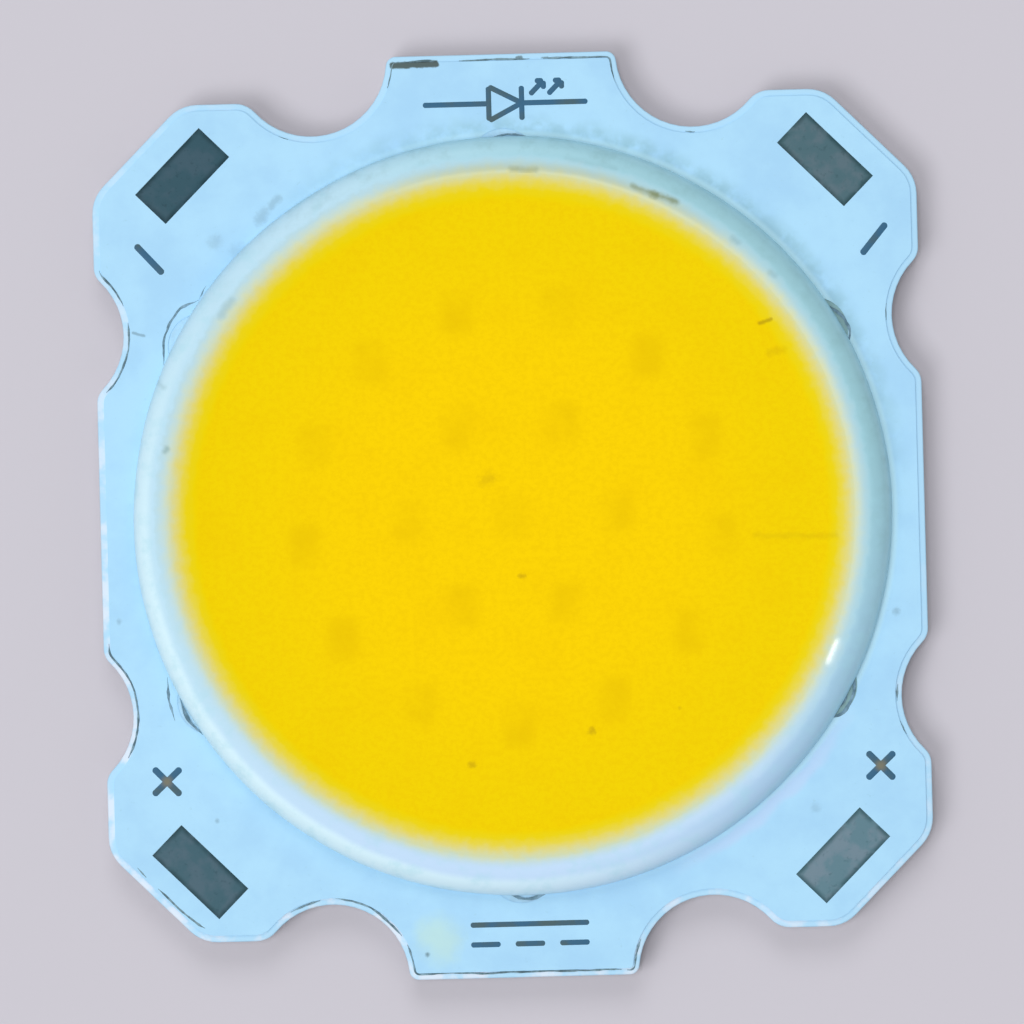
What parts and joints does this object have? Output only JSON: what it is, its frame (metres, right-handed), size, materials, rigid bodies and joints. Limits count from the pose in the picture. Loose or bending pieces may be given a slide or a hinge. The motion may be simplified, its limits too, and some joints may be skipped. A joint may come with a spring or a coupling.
{
  "type": "chip-on-board light-emitting diode",
  "caption": "Flat notched aluminium board with a round yellow light field inside a raised silicone ring, corner solder pads and screw notches round its edge.",
  "frame": {"origin": "the middle of the board's underside, which is the middle of its bounding box", "axes": "+Z points out of the light field, +Y to the tab between the two negative pads, +X to the right as seen from the light side"},
  "size_m": [0.025, 0.028, 0.002],
  "materials": {
    "aluminium": "bare sheet with a punched edge, mirror-polished where the chips stand",
    "bonding_sheet": "cured adhesive sheet",
    "circuit_film": "resin laminate, grey at its cut edge",
    "copper": null,
    "solder_mask": "pale blue semi-matt solder mask",
    "tin": null,
    "dam_silicone": "glossy translucent silicone",
    "phosphor": "fine-grained yellow phosphor in satin silicone",
    "chip_adhesive": "cured chip adhesive",
    "chip": null,
    "wire": null
  },
  "bodies": {
    "root": {"base_plate": "aluminium", "bonding_sheet": "bonding_sheet", "circuit_film": "circuit_film", "positive_copper": "copper", "negative_copper": "copper", "solder_mask": "solder_mask", "pad_positive_left": "tin", "pad_positive_right": "tin", "pad_negative_left": "tin", "pad_negative_right": "tin", "silicone_dam": "dam_silicone", "phosphor_fill": "phosphor", "chip_adhesive": "chip_adhesive", "led_chip_01": "chip", "led_chip_02": "chip", "led_chip_03": "chip", "led_chip_04": "chip", "led_chip_05": "chip", "led_chip_06": "chip", "led_chip_07": "chip", "led_chip_08": "chip", "led_chip_09": "chip", "led_chip_10": "chip", "led_chip_11": "chip", "led_chip_12": "chip", "led_chip_13": "chip", "led_chip_14": "chip", "led_chip_15": "chip", "led_chip_16": "chip", "led_chip_17": "chip", "led_chip_18": "chip", "led_chip_19": "chip", "led_chip_20": "chip", "bond_wire_01": "wire", "bond_wire_02": "wire", "bond_wire_03": "wire", "bond_wire_04": "wire", "bond_wire_05": "wire", "bond_wire_06": "wire", "bond_wire_07": "wire", "bond_wire_08": "wire", "bond_wire_09": "wire", "bond_wire_10": "wire", "bond_wire_11": "wire", "bond_wire_12": "wire", "bond_wire_13": "wire", "bond_wire_14": "wire", "bond_wire_15": "wire", "bond_wire_16": "wire", "bond_wire_17": "wire", "bond_wire_18": "wire", "bond_wire_19": "wire", "bond_wire_20": "wire", "bond_wire_21": "wire"}
  },
  "joints": []
}
